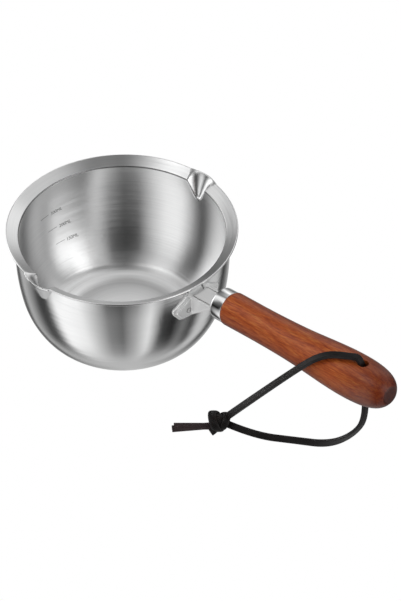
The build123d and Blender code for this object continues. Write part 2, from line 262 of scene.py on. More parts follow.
def closed_mesh(name, grid):
    """Piece of a grid of rows by columns whose columns close into rings and whose first
    and last rows end it. A pole row becomes one point, and any other end row a flat cap."""
    rows, columns = grid.shape[:2]
    points = np.concatenate([grid.reshape(-1, 3), [grid[0].mean(axis=0), grid[-1].mean(axis=0)]])
    quads = ring_faces(rows, columns)[:-1].reshape(-1, 4)
    first, last = quads[:columns, :2], quads[-columns:, 3:1:-1]
    middle = np.full((columns, 1), rows * columns)
    caps = [np.hstack([middle, first[:, ::-1]]), np.hstack([middle + 1, last])]
    return smooth_piece(name, points, quads.tolist() + np.concatenate(caps).tolist())


def apply_modifiers(piece):
    """Keep what a piece's modifiers make of it as its own mesh."""
    bpy.context.view_layer.update()
    seen = piece.evaluated_get(bpy.context.evaluated_depsgraph_get())
    finished = bpy.data.meshes.new_from_object(seen)
    piece.modifiers.clear()
    piece.data = finished


def finish_piece(piece, slot, material, *nodes_replaced):
    """Give a piece its material, and let it ride and stand for its nodes. The slot is not used.
    """
    piece.data.materials.clear()
    piece.data.materials.append(material)
    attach(piece, "root")
    if nodes_replaced:
        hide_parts(*nodes_replaced)
    print(piece.name, len(piece.data.polygons), "faces")


def unit(vectors):
    """The vectors, each one long."""
    return vectors / np.linalg.norm(vectors, axis=-1, keepdims=True)


def lengths_along(line):
    """Distance of each point of a line from its start, along the line."""
    steps = np.linalg.norm(np.diff(line, axis=0), axis=1)
    return np.concatenate([[0], np.cumsum(steps)])


def at_places(line, places):
    """Points of a line at distances from its start."""
    along = lengths_along(line)
    return np.stack([np.interp(places, along, column) for column in line.T], axis=-1)


def evenly(line, count):
    """The line again, as points at even distances."""
    return at_places(line, np.linspace(0, lengths_along(line)[-1], count))


# %% [markdown]
# The steel of the bowl is brushed in rings: fine scratches run round it, so light spreads
# across the scratches, up and down the wall, and stays sharp along them. That is what
# draws the upright bands. The shader's anisotropy does this, with its tangent turned
# round the pan's axis. A shared node group adds the scratches that the eye can see: a
# noise that changes fast with the distance from the axis and with the height, and slowly
# round the pan.

# %% Ring brushing as a node group


def group_with(name, inputs, outputs):
    """New shader node group with named number inputs and named outputs. Also returns the
    sockets that carry the inputs in, and the node that takes the outputs."""
    group = bpy.data.node_groups.new(name, "ShaderNodeTree")
    for title, value in inputs:
        socket = group.interface.new_socket(title, in_out="INPUT", socket_type="NodeSocketFloat")
        socket.default_value = value
    for title in outputs:
        group.interface.new_socket(title, in_out="OUTPUT", socket_type="NodeSocketFloat")
    return group, group.nodes.new("NodeGroupInput").outputs, group.nodes.new("NodeGroupOutput")


brushing, given, taken = group_with(
    "ring_brushing", [("Lines per metre", 2600), ("Patches per metre", 22)],
    ["Lines", "Patches", "Radius"],
)
place = add(brushing, "ShaderNodeTexCoord", "Object")
parts = add(brushing, "ShaderNodeSeparateXYZ", Vector=place).outputs
level_place = add(brushing, "ShaderNodeCombineXYZ", "Vector", X=parts["X"], Y=parts["Y"])
radius = vector_math(brushing, "LENGTH", level_place, output="Value")
changes_round = 40  # per metre along X and along Y
scaled = [
    calculate(brushing, "MULTIPLY", value, rate)
    for value, rate in (
        (radius, given["Lines per metre"]), (parts["Z"], given["Lines per metre"]),
        (parts["X"], changes_round), (parts["Y"], changes_round))]
lines = add(brushing, "ShaderNodeTexNoise", Scale=1, Detail=3)
lines.noise_dimensions = "4D"
x, y, z, w = scaled
set_inputs(
    brushing, lines, Vector=add(brushing, "ShaderNodeCombineXYZ", "Vector", X=x, Y=y, Z=z), W=w)
patches = add(
    brushing, "ShaderNodeTexNoise", "Fac", Vector=place, Scale=given["Patches per metre"])
set_inputs(brushing, taken, Lines=lines.outputs["Fac"], Patches=patches, Radius=radius)


def use_group(tree, group, **values):
    """Outputs of the group placed in a material with its own values."""
    node = add(tree, "ShaderNodeGroup")
    node.node_tree = group
    set_inputs(tree, node, **values)
    return node.outputs


def new_material(name):
    """New material with its node tree and its Principled shader."""
    material = bpy.data.materials.new(name)
    material.use_nodes = True
    return material, material.node_tree, material.node_tree.nodes["Principled BSDF"]


def bumped(tree, heights, strength, distance):
    """Normal of a surface whose relief is given by heights between 0 and 1."""
    return add(
        tree, "ShaderNodeBump", "Normal", Strength=strength, Distance=distance, Height=heights)


print("brushing of", len(brushing.nodes), "nodes")

# %% [markdown]
# One pressing carries five finishes, so the bowl has five steels: a sharper polish outside,
# a brushed wall inside, a dull flange and floor, and the plain pressed folds of the spouts.
# A sixth, darker one paints a dark reflection along the line where the flange turns into
# the wall. In the photograph the bowl mirrors neither its own other side nor the lace, so
# near reflections are let through: a light path node sees how far a reflected ray has come.

# %% Brushed steel of the bowl
near_reach = 126 * mm  # a little over the rim's diameter
scratch_dark = np.array([0.74, 0.745, 0.75])
scratch_light = np.array([0.92, 0.92, 0.915])


def tipped_normal(tree, lines, amount):
    """Surface normal that each scratch tips up or down the wall, but never round it. The
    direction across the scratches is the cross product of the normal and the tangent that
    runs round the axis. Also returns that tangent."""
    surface = add(tree, "ShaderNodeNewGeometry", "Normal")
    round_axis = add(tree, "ShaderNodeTangent")
    round_axis.direction_type = "RADIAL"
    round_axis.axis = "Z"
    tangent = round_axis.outputs["Tangent"]
    tip = vector_math(tree, "SCALE", vector_math(tree, "CROSS_PRODUCT", surface, tangent))
    set_inputs(tree, tip.node, Scale=range_of(tree, lines, -amount / 2, amount / 2))
    return vector_math(tree, "NORMALIZE", vector_math(tree, "ADD", surface, tip)), tangent


def skip_near_reflections(tree, shader, beyond=0.0):
    """Let a reflected ray pass through this surface where it left a surface less than a
    bowl's width away. The lace still shades itself, within the short distance beyond which
    the skip begins."""
    path = add(tree, "ShaderNodeLightPath").outputs
    skipped = calculate(
        tree, "MULTIPLY", calculate(tree, "LESS_THAN", path["Ray Length"], near_reach),
        calculate(tree, "GREATER_THAN", path["Ray Length"], beyond))
    skipped = calculate(tree, "MULTIPLY", skipped, path["Is Glossy Ray"])
    clear = add(tree, "ShaderNodeBsdfTransparent", "BSDF")
    surface = mixed_shaders(tree, skipped, shader.outputs["BSDF"], clear)
    set_inputs(tree, tree.nodes["Material Output"], Surface=surface)


def brushed_steel(name, roughness, anisotropy, tip, shade=1.0, painted_ring_reflection=None):
    """Steel brushed in rings: a range of roughness, how far the light spreads across the
    brushing, how far each scratch tips the surface, a shade for its colour, and tones of
    painted reflection to multiply it by at distances in millimetres from the axis."""
    material, tree, shader = new_material(name)
    rings = use_group(tree, brushing)
    dark, light = tuple(shade * scratch_dark), tuple(shade * scratch_light)
    colour = mixed(tree, rings["Lines"], dark, light)
    # painted reflection: these tones multiply the steel's colour by distance from the axis
    if painted_ring_reflection:
        distance = calculate(tree, "DIVIDE", rings["Radius"], mm)
        colour = mixed(
            tree, 1, colour, grey_ramp(tree, distance, 0, 40, painted_ring_reflection), "MULTIPLY")
    normal, tangent = tipped_normal(tree, rings["Lines"], tip)
    set_inputs(
        tree, shader, Metallic=1, Anisotropic=anisotropy, Anisotropic_Rotation=0.25,
        Base_Color=colour, Roughness=range_of(tree, rings["Patches"], *roughness),
        Normal=normal, Tangent=tangent)
    skip_near_reflections(tree, shader)
    print(name, len(tree.nodes), "nodes")
    return material


# painted reflection: a bright ring over the foot and a dark ring just inside it, multiplied into
# the floor's colour
painted_floor_reflection = [
    (0, 1.08), (16, 1.06), (24, 0.85), (28.5, 0.65), (30.5, 0.82), (32.5, 1.08), (35, 1.08),
    (37, 0.9),
]
bowl_steels = [
    brushed_steel("polished_outside", (0.12, 0.15), 0.85, 0.12),
    brushed_steel("brushed_inside", (0.28, 0.31), 0.98, 0.5),
    brushed_steel("brushed_flange", (0.28, 0.30), 0.80, 0.25, 1.08),
    brushed_steel("brushed_floor", (0.36, 0.40), 0.60, 0.2, 1.0, painted_floor_reflection),
    brushed_steel("pressed_spout", (0.30, 0.34), 0.0, 0.0),
    # this steel is darkened to paint the dark reflection where the flange turns into the wall
    brushed_steel("painted_dark_mouth_edge", (0.40, 0.44), 0.0, 0.0, 0.35),
]

# %% [markdown]
# The bowl is one pressing of 1 mm sheet. Its wall is a chain of arcs turned about the
# axis, and each spout is a groove folded through the flange and the mouth. Such folds run
# into each other, which is hard to draw as one grid. It is easier to think of the air:
# inside the sheet there is only air, of the bowl and of the two grooves, melted softly
# together. Rays leave a ring above the mouth, and the sheet's inner face is where they
# leave that air. The outer face lies one sheet further out.

# %% Profile of the bowl
rim_radius = 60 * mm
rim_height = 64.6 * mm
rim_rise = 3.5 * mm
flange_width = 6.3 * mm
mouth_radius = rim_radius - flange_width
belly_radius = mouth_radius + 2.1 * mm
belly_height = rim_height - 15.8 * mm
base_radius = 39.5 * mm
foot_radius = 30 * mm
foot_slope_run = 4 * mm
foot_step = 0.9 * mm
sheet = 1 * mm
wall_shares = ((0.8625, 0.5050), (0.4940, 0.1730), (0.0930, 0.0130))
flange_slope = math.atan2(rim_rise, flange_width)
foot_softening = 0.5 * mm
base_softening = 3 * mm


def arc_to(start, heading, end, count):
    """Points of the arc that leaves start along a heading and reaches end. Its centre lies
    square to the heading, as far out as makes start and end equally far from it. Also
    returns the heading at the end."""
    start, heading, end = (np.asarray(v, float) for v in (start, heading, end))
    side = np.array([-heading[1], heading[0]])
    chord = end - start
    radius = chord @ chord / (2 * (chord @ side))
    turn = 2 * math.atan2(chord @ side, chord @ heading)
    angle = np.linspace(0, turn, count)[:, None]
    points = start + radius * side + radius * (np.sin(angle) * heading - np.cos(angle) * side)
    return points, math.cos(turn) * heading + math.sin(turn) * side


def soften(line, corner, reach):
    """The line with the stretch within reach of a corner bent as a parabola: each point is
    the weighted mean of the stretch's two ends and the corner."""
    along = lengths_along(line)
    at = along[np.argmin(np.linalg.norm(line - corner, axis=1))]
    ends = at_places(line, [at - reach, at + reach])
    t = np.linspace(0, 1, 9)[:, None]
    bend = (1 - t) ** 2 * ends[0] + 2 * t * (1 - t) * corner + t ** 2 * ends[1]
    return np.concatenate([line[along < at - reach], bend, line[along > at + reach]])


def wall_at_shares(across, up):
    """Point of the outer wall between the base's edge and the belly, by two shares."""
    return (base_radius + across * (belly_radius - base_radius),
            foot_step + up * (belly_height - foot_step))


wall = [np.array([[belly_radius, belly_height]])]
heading = np.array([0.0, -1.0])
for shares in wall_shares:
    arc, heading = arc_to(wall[-1][-1], heading, wall_at_shares(*shares), 24)
    wall.append(arc[1:])
wall = np.concatenate([*wall, [wall_at_shares(0, 0)]])[::-1]
mouth_outside = (
    mouth_radius + sheet,
    rim_height - sheet * math.cos(flange_slope) - (flange_width - sheet) * math.tan(flange_slope),
)
upper_wall, _ = arc_to((belly_radius, belly_height), (0.0, 1.0), mouth_outside, 16)
base_line = np.array([(0, 0), (foot_radius, 0), (foot_radius + foot_slope_run, foot_step)])
outer_line = np.concatenate([
    evenly(base_line[:2], 120), evenly(base_line[1:], 30)[1:],
    evenly(np.array([base_line[2], wall[0]]), 40)[1:], evenly(wall, 300)[1:], upper_wall[1:],
])
outer_line = soften(outer_line, base_line[1], foot_softening)
outer_line = soften(outer_line, base_line[2], foot_softening)
outer_line = soften(outer_line, wall[0], base_softening)
tangent = unit(np.gradient(outer_line, axis=0))
inner_line = outer_line + sheet * np.stack([-tangent[:, 1], tangent[:, 0]], axis=-1)
print("inner wall's widest radius", round(inner_line[:, 0].max() / mm, 2), "mm")

# %% Air of the bowl
mouth_melt = 0.6 * mm
fold_melt = 0.9 * mm
flange_inner_radius = rim_radius - sheet * math.sin(flange_slope)


def either(a, b, melt):
    """The larger of two depths, with the ridge between them rounded over the melt width."""
    close = np.clip(1 - np.abs(a - b) / melt, 0, None)
    return np.maximum(a, b) + close ** 2 * melt / 4


def flange_height(radius):
    """Height of the flange's upper face at a radius."""
    return rim_height + (radius - flange_inner_radius) * math.tan(flange_slope)


def bowl_air(radius, height):
    """How deep a point lies in the bowl's air: within the wall or above the flange."""
    wall_at = np.interp(height, inner_line[:, 1], inner_line[:, 0])
    over_flange = (height - flange_height(radius)) * math.cos(flange_slope)
    return either(wall_at - radius, over_flange, mouth_melt)


# %% [markdown]
# Each spout is a groove folded into the sheet. Its bottom is a straight line from a blunt
# tip on the wall up to the lip. Across that line it is an arc: narrow at the tip, deep
# where it cuts the mouth's edge, wide and shallow at the rim. Between those three places
# its width and depth follow a parabola.

# %% Air of a spout
spout_chord = 17.4 * mm
spout_mouth_width = 12.4 * mm
spout_tip = np.array([0, belly_radius - sheet + 0.8 * mm, rim_height - 13.6 * mm])
spout_lip = np.array([0, rim_radius + 1.2 * mm, rim_height - 0.7 * mm])
tip_half_width = 1.6 * mm
tip_depth = 1.2 * mm
tip_melt = 2.0 * mm
groove_line = unit(spout_lip - spout_tip)
groove_inward = np.cross((1, 0, 0), groove_line)


def fold_place(radius, width):
    """Where the groove's fold crosses the flange at a radius: how far up the groove's
    bottom line it lies, and how high over it."""
    height = min(flange_height(radius), rim_height)
    fold = np.array([0, math.sqrt(radius ** 2 - width ** 2 / 4), height]) - spout_tip
    return fold @ groove_line, fold @ groove_inward


mouth_place, mouth_depth = fold_place(mouth_radius, spout_mouth_width)
rim_place, rim_depth = fold_place(rim_radius, spout_chord)
stations = (0, mouth_place, rim_place)
width_parabola = np.polyfit(stations, (tip_half_width, spout_mouth_width / 2, spout_chord / 2), 2)
depth_parabola = np.polyfit(stations, (tip_depth, mouth_depth, rim_depth), 2)
lip_bend = (spout_chord ** 2 / 4 + rim_depth ** 2) / (2 * rim_depth)


def spout_air(x, y, z):
    """How deep a point lies in a spout's air: inside the arc below the fold, between its
    upright sides above the fold, and above the tip."""
    along = (y - spout_tip[1]) * groove_line[1] + (z - spout_tip[2]) * groove_line[2]
    over = (y - spout_tip[1]) * groove_inward[1] + (z - spout_tip[2]) * groove_inward[2]
    place = np.clip(along, 0, rim_place)
    half = np.polyval(width_parabola, place)
    fold = np.polyval(depth_parabola, place)
    bend = (half ** 2 + fold ** 2) / (2 * fold)
    section = np.where(over < fold, bend - np.hypot(x, over - bend), half - np.abs(x))
    return -either(-section, -along, tip_melt)


def air_depth(radius, height, across):
    """How deep a point lies in air: positive in air and negative in metal. across is its
    angle from the middle of the nearer spout."""
    spout = spout_air(radius * np.sin(across), radius * np.cos(across), height)
    return either(bowl_air(radius, height), spout, fold_melt)


# %% Inner face of the bowl
columns = 384
turn = np.linspace(0, 1, 4001)
crowding = 1 + 6 * np.exp(-((np.abs(np.mod(turn, 0.5) - 0.25)) / 0.035) ** 2)
crowded = np.concatenate([[0], np.cumsum((crowding[1:] + crowding[:-1]) / 2)])
angles = 2 * np.pi * np.interp(np.arange(columns) / columns, crowded / crowded[-1], turn)
across = np.mod(angles, np.pi) - np.pi / 2
print(columns, "columns, crowded together at the spouts")

# %% [markdown]
# The rim's edge follows the flange's circle, and dips into each lip where the groove runs
# out. There the edge lies on the groove's arc, whose place depends on how far out the edge
# itself lies, so it is found in a few rounds.

# %% Edge of the rim
lip_slope = np.tan(np.clip(across, -0.3, 0.3))
lip_y = np.full(columns, spout_lip[1])
for _ in range(4):
    lip_x = np.clip(lip_y * lip_slope, -spout_chord / 2, spout_chord / 2)
    lip_over = lip_bend - np.sqrt(lip_bend ** 2 - lip_x ** 2)
    lip_y = spout_tip[1] + rim_place * groove_line[1] + lip_over * groove_inward[1]
lip_z = spout_tip[2] + rim_place * groove_line[2] + lip_over * groove_inward[2]
on_lip = np.abs(lip_y * lip_slope) * 2 / spout_chord
on_lip = np.clip((1.04 - on_lip) / 0.06, 0, 1)  # fades out over the lip's last share
end_radius = flange_inner_radius + (np.hypot(lip_x, lip_y) - flange_inner_radius) * on_lip
end_height = rim_height + (lip_z - rim_height) * on_lip
print("lips reach", round(end_radius.max() / mm, 2), "mm from the axis")

# %% Rays through the air
ray_ring = np.array([46.0, 68.0]) * mm
split_height = 45 * mm
fan_rows = 78
lower_rows = 46
bend_crowding = 40
start_point = np.array([
    np.interp(split_height, inner_line[:, 1], inner_line[:, 0]), split_height])
start_angle = math.atan2(*(start_point - ray_ring)[::-1])
end_angle = np.arctan2(end_height - ray_ring[1], end_radius - ray_ring[0])
share_of_fan = np.linspace(0, 1, fan_rows)[:, None]
fan = start_angle + share_of_fan * (end_angle - start_angle)
far = np.linspace(4 * mm, 30 * mm, 521)  # steps along a ray
ray_radius = ray_ring[0] + far * np.cos(fan)[..., None]
ray_height = ray_ring[1] + far * np.sin(fan)[..., None]
depth = air_depth(ray_radius, ray_height, across[None, :, None])
hit = np.argmax(depth < 0, axis=2)
row_index, column_index = np.indices(hit.shape)
before = depth[row_index, column_index, hit - 1]
after = depth[row_index, column_index, hit]
reach = far[hit - 1] + (far[hit] - far[hit - 1]) * before / (before - after)
fan_radius = ray_ring[0] + reach * np.cos(fan)
fan_height = ray_ring[1] + reach * np.sin(fan)

lower = inner_line[inner_line[:, 1] < split_height]
lower_along = lengths_along(lower)
lower_heading = np.unwrap(np.arctan2(*np.gradient(lower, axis=0).T[::-1]))
bend_weight = 1 + bend_crowding * np.abs(np.gradient(lower_heading))
bend_weight = np.cumsum(bend_weight * np.gradient(lower_along))
bend_share = (bend_weight - bend_weight[0]) / np.ptp(bend_weight)
lower = at_places(lower, np.interp(np.linspace(0, 1, lower_rows), bend_share, lower_along))
radii = np.concatenate([np.repeat(lower[:-1, :1], columns, axis=1), fan_radius])
heights = np.concatenate([np.repeat(lower[:-1, 1:], columns, axis=1), fan_height])
inner_face = np.stack([radii * np.cos(angles), radii * np.sin(angles), heights], axis=-1)
print("inner face", inner_face.shape)

# %% [markdown]
# The outer face is the inner one moved outwards by the sheet along its normal. The normal
# at a grid point is the cross product of the steps to its neighbours along the row and
# along the column. The rim's edge closes the two faces with half a turn of small rows.

# %% Whole sheet of the bowl
along_column = np.gradient(inner_face, axis=0)
along_row = np.roll(inner_face, -1, axis=1) - np.roll(inner_face, 1, axis=1)
normal = np.cross(along_row, along_column)
normal[0] = (0, 0, -1)
length = np.linalg.norm(normal, axis=2, keepdims=True)
normal = normal / np.maximum(length, 1e-12)
normal *= np.where(normal[40:41, :1, 2:] > 0, -1, 1)
outer_face = inner_face + sheet * normal
edge_middle = (inner_face[-1] + outer_face[-1]) / 2
edge_out = unit(inner_face[-1] - inner_face[-2])
sweep = np.linspace(0, np.pi, 7)[1:-1, None, None]
edge_rows = edge_middle + sheet / 2 * (
    -np.cos(sweep) * normal[-1] + 0.8 * np.sin(sweep) * edge_out)
bowl = closed_mesh("bowl", np.concatenate([inner_face, edge_rows, outer_face[::-1]]))
finish_piece(bowl, "bowl_steel", bowl_steels[0], "pan_bowl")
for steel in bowl_steels[1:]:
    bowl.data.materials.append(steel)

# %% [markdown]
# Each face of the sheet gets one of the six steels by where it lies and how it leans. What
# looks outwards and down is the outside. The rest is spout where it lies in a groove's air,
# the painted dark reflection of the mouth edge where it leans between wall and flange, and
# else flange, floor or inner wall.

# %% Steel of each face
floor_end = base_radius - 3 * mm
spout_margin = 0.15 * mm
count = len(bowl.data.polygons)
centre, facing = np.empty((2, count, 3))
bowl.data.polygons.foreach_get("center", centre.ravel())
bowl.data.polygons.foreach_get("normal", facing.ravel())
radius = np.hypot(centre[:, 0], centre[:, 1])
inwards = -np.sum(centre[:, :2] * facing[:, :2], axis=1) / np.maximum(radius, 1e-9)
is_outside = inwards + facing[:, 2] <= 0
upwards = facing[:, 2] > 0.5
in_spout = spout_air(centre[:, 0], np.abs(centre[:, 1]), centre[:, 2]) > -spout_margin
leaning = (facing[:, 2] > 0.15) & (facing[:, 2] < 0.8)
above_belly = centre[:, 2] > belly_height
outside, inner_wall, flange, floor, spout, painted_dark_mouth_edge = range(6)
kinds = np.select(
    [is_outside, in_spout, leaning & above_belly, upwards & above_belly,
     upwards & (radius < floor_end)],
    [outside, spout, painted_dark_mouth_edge, flange, floor], inner_wall)
bowl.data.polygons.foreach_set("material_index", kinds.astype(np.int32))
print("faces of each steel", np.bincount(kinds))

# %% [markdown]
# The marks inside the bowl are short lines and plain volumes, etched into the steel. They
# are drawn flat, as text and thin boxes, and then wrapped on the wall: the drawing's
# x becomes a distance round the wall and its y a height.

# %% Volume marks
# this grey is the etched marks' own colour, and also paints the shade ring of the weld print
mark_and_shade_ink, tree, shader = new_material("etched_and_shade_grey")
set_inputs(tree, shader, Base_Color=(0.14, 0.14, 0.14, 1), Roughness=0.6, Metallic=0.3)
mark_places = (("300ML", 42.0, 9.1), ("200ML", 31.6, 4.6), ("150ML", 21.8, 1.0))
mark_height = 2.0 * mm
mark_lift = 0.04 * mm
wrap_radius = 54 * mm
word_gap = 1.6 * mm
tick_length = 6.4 * mm
tick_width = 0.22 * mm
tick_steps = 8


def wrapped(points, height, start):
    """Points of a flat drawing on the inner wall: x runs round it from a start, seen from
    the axis towards the handle's left, and y climbs it."""
    level = height + points[:, 1]
    radius = np.interp(level, inner_line[:, 1], inner_line[:, 0]) - mark_lift
    turn = np.pi + (start - points[:, 0]) / wrap_radius
    return np.stack([radius * np.cos(turn), radius * np.sin(turn), level], axis=-1)


for words, height, start in mark_places:
    text = bpy.data.curves.new("text", "FONT")
    text.body = words
    text.size = 1
    flat_text = new_object("text", text)
    bpy.context.view_layer.update()
    mesh = bpy.data.meshes.new_from_object(flat_text)
    bpy.data.objects.remove(flat_text)
    points = np.array([v.co[:] for v in mesh.vertices])
    points = points / np.ptp(points[:, 1]) * mark_height
    points[:, 0] = (points[:, 0] - points[:, 0].min()) * 0.98 + tick_length + word_gap
    points[:, 1] -= mark_height * 0.65
    tick_x = np.linspace(0, tick_length, tick_steps + 1)
    tick = np.array([(x, s * tick_width / 2, 0) for x in tick_x for s in (-1, 1)])
    corners = len(points) + 2 * np.arange(tick_steps)[:, None] + [0, 2, 3, 1]
    faces = [list(p.vertices) for p in mesh.polygons] + corners.tolist()
    points = wrapped(np.concatenate([points, tick]), height * mm, start * mm)
    finish_piece(flat_piece("mark_" + words.lower(), points, faces), "bowl_steel", mark_and_shade_ink)

# %% [markdown]
# The bracket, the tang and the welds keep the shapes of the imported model. The bracket is
# pressed from sheet, so its edges are soft: a copy is rebuilt from fine cubes and then
# smoothed, which rounds every edge and fills the tight inner corners as a press does.

# %% Steel of the small parts


def small_metal(name, dark, light, roughness, rough_by, **texture):
    """Metal whose colour wanders with the patches between two tones, and whose roughness
    wanders in a range with one of the brushing's masks."""
    material, tree, shader = new_material(name)
    rings = use_group(tree, brushing, **texture)
    set_inputs(
        tree, shader, Metallic=1, Base_Color=mixed(tree, rings["Patches"], dark, light),
        Roughness=range_of(tree, rings[rough_by], *roughness))
    return material


pressed_steel = small_metal(
    "pressed_steel", (0.93, 0.93, 0.93), (0.98, 0.98, 0.975), (0.50, 0.55), "Patches",
    Lines_per_metre=900, Patches_per_metre=160)
polished_steel = small_metal(
    "polished_steel", (0.88, 0.885, 0.89), (0.95, 0.95, 0.945), (0.06, 0.12), "Lines",
    Lines_per_metre=1800, Patches_per_metre=90)
insert_brass = small_metal(
    "insert_brass", (0.62, 0.43, 0.17), (0.80, 0.60, 0.28), (0.3, 0.3), "Patches")

bracket_cube = 0.15 * mm
bracket_rounds = 45
bracket = new_object("bracket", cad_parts["handle_bracket"].data.copy())
merge_points(bracket.data, 0.001 * mm)
remesh = bracket.modifiers.new("cubes", "REMESH")
remesh.mode = "VOXEL"
remesh.voxel_size = bracket_cube
smooth = bracket.modifiers.new("smooth", "SMOOTH")
smooth.iterations = bracket_rounds
smooth.factor = 0.5
apply_modifiers(bracket)
bracket.data.shade_smooth()
finish_piece(bracket, "bracket_steel", pressed_steel, "handle_bracket")
for node, material in (
    ("handle_tang", pressed_steel), ("spot_welds", pressed_steel),
    ("threaded_insert", insert_brass),
):
    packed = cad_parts[node]
    packed.data.materials.clear()
    packed.data.materials.append(material)

# %% [markdown]
# A spot weld leaves a shallow round print in the sheet, and the shade in its edge is painted
# as a thin dark ring on the near ear. The ring is a flat dark band just over the imported weld's
# outer face. Its middle and direction are the means of that face's triangles, weighted by their
# areas.

# %% Ring of the near spot weld
ring_lift = 0.06 * mm
ring_radii = (1.25 * mm, 1.45 * mm)
ring_steps = 48

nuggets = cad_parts["spot_welds"].data
cap = [
    face for face in nuggets.polygons
    if face.center.y < 0 and face.normal.dot(Vector((*face.center.xy, 0)).normalized()) > 0.9]
cap_area = sum(face.area for face in cap)
weld_middle = np.array(sum((face.center * face.area for face in cap), Vector()) / cap_area)
weld_facing = np.array(sum((face.normal * face.area for face in cap), Vector()).normalized())
weld_side = unit(np.cross((0, 0, 1), weld_facing))
weld_up = np.cross(weld_facing, weld_side)
turn = np.linspace(0, 2 * np.pi, ring_steps, endpoint=False)[:, None]
spoke = np.cos(turn) * weld_side + np.sin(turn) * weld_up
ring = np.concatenate([weld_middle + ring_lift * weld_facing + r * spoke for r in ring_radii])
step = np.arange(ring_steps)
after = (step + 1) % ring_steps
faces = np.stack([step, ring_steps + step, ring_steps + after, after], axis=-1)
# painted shade: a dark band in place of the shade in the weld print's edge
finish_piece(flat_piece("weld_shade_ring", ring, faces.tolist()), "bracket_steel", mark_and_shade_ink)

# %% [markdown]
# The ferrule and the wooden handle are turned, so each is a profile carried round the
# handle's axis. That axis leaves the pan a little upwards.

# %% Turning on the handle's axis
handle_tilt = math.radians(6.57)
ferrule_front = np.array([72.0, 0, 58.4]) * mm
axis_along = np.array([math.cos(handle_tilt), 0, math.sin(handle_tilt)])
axis_up = np.array([-math.sin(handle_tilt), 0, math.cos(handle_tilt)])
axis_side = np.array([0.0, 1.0, 0.0])


def turned_piece(name, profile, columns, foot=ferrule_front, axis=axis_along, across=axis_up):
    """Profile of distances and radii carried round an axis that starts at its foot."""
    angle = np.linspace(0, 2 * np.pi, columns, endpoint=False)[None, :, None]
    along, radius = profile.T[:, :, None, None]
    ring = np.cos(angle) * np.cross(across, axis) + np.sin(angle) * across
    return closed_mesh(name, foot + along * axis + radius * ring)


def smooth_through(points, count, start_slope, end_slope):
    """Curve through points as cubic pieces whose slopes and bends agree where they meet,
    solved for all the slopes at once, with the slopes of both ends given."""
    points = np.array(points)
    gap = np.linalg.norm(np.diff(points, axis=0), axis=1)[:, None]
    rise = np.diff(points, axis=0) / gap
    last = len(points) - 1
    left = np.eye(last + 1)
    known = np.array([start_slope, *[(0, 0)] * (last - 1), end_slope], float)
    for i in range(1, last):
        left[i, i - 1:i + 2] = gap[i, 0], 2 * (gap[i - 1, 0] + gap[i, 0]), gap[i - 1, 0]
        known[i] = 3 * (gap[i] * rise[i - 1] + gap[i - 1] * rise[i])
    slope = np.linalg.solve(left, known)
    second = (3 * rise - 2 * slope[:-1] - slope[1:]) / gap
    third = (slope[:-1] + slope[1:] - 2 * rise) / gap ** 2
    knots = np.append(0, np.cumsum(gap))
    place = np.linspace(0, knots[-1], count)
    piece = np.clip(np.searchsorted(knots, place, side="right") - 1, 0, last - 1)
    t = (place - knots[piece])[:, None]
    return points[piece] + t * (slope[piece] + t * (second[piece] + t * third[piece]))


def quarter(centre, radius, start, end, count=10):
    """Points of an arc about a centre between two angles in degrees."""
    angle = np.radians(np.linspace(start, end, count))
    return centre + radius * np.stack([np.cos(angle), np.sin(angle)], axis=-1)


# %% Ferrule
ferrule_radius = 8.6 * mm
ferrule_length = 8.2 * mm
front_radius = 2.0 * mm
edge_round = 0.25 * mm
cup_inside = 7.8 * mm
cup_sheet = 0.8 * mm
rod_hole = 2.65 * mm
profile = np.concatenate([
    [(0.0, rod_hole), (0.0, 5 * mm)],
    quarter((front_radius, ferrule_radius - front_radius), front_radius, 180, 90),
    [(ferrule_length * 0.5, ferrule_radius)],
    quarter((ferrule_length - edge_round, ferrule_radius - edge_round), edge_round, 90, 0, 5),
    [(ferrule_length, cup_inside), (cup_sheet, cup_inside), (cup_sheet, rod_hole), (0, rod_hole)],
])
ferrule = turned_piece("steel_ferrule", profile, 128)
finish_piece(ferrule, "ferrule_steel", polished_steel, "ferrule")

# %% [markdown]
# The handle's wood is a reddish hardwood, oiled until it shines a little. Its grain runs
# along the handle as fine dark pores in lighter and darker streaks. The pattern is solid:
# it reads the place in the wood, stretched along the handle, so cut ends match too. The
# wood is darker towards its end, and darker still on the flat end disc. Where its surface
# turns away from the eye, the wood carries painted shade.

# %% Oiled wood
oiled_wood, tree, shader = new_material("oiled_wood")
grain_stretch = 8.0
end_darkening_span = (88 * mm, 117 * mm)  # along the handle's axis, as the next one
end_disc = (115.8 * mm, 116 * mm)
along_grain = add(
    tree, "ShaderNodeMapping", Vector=add(tree, "ShaderNodeTexCoord", "Object"),
    Location=ferrule_front.tolist(), Rotation=(0, -handle_tilt, 0),
    Scale=(grain_stretch, 1.0, 1.0))
along_grain.vector_type = "TEXTURE"
place = along_grain.outputs["Vector"]
streaks = add(
    tree, "ShaderNodeTexNoise", "Fac", Vector=place, Scale=560, Detail=6, Roughness=0.7,
    Distortion=0.3)
pores = add(
    tree, "ShaderNodeTexNoise", "Fac", Vector=place, Scale=1900, Detail=2, Roughness=0.5)
along = add(tree, "ShaderNodeSeparateXYZ", "X", Vector=place)
# the wood's colour is multiplied darker towards its end, and darker still on its flat end disc
end_darkening, disc = (
    range_of(tree, along, 0, 1, start / grain_stretch, end / grain_stretch)
    for start, end in (end_darkening_span, end_disc))
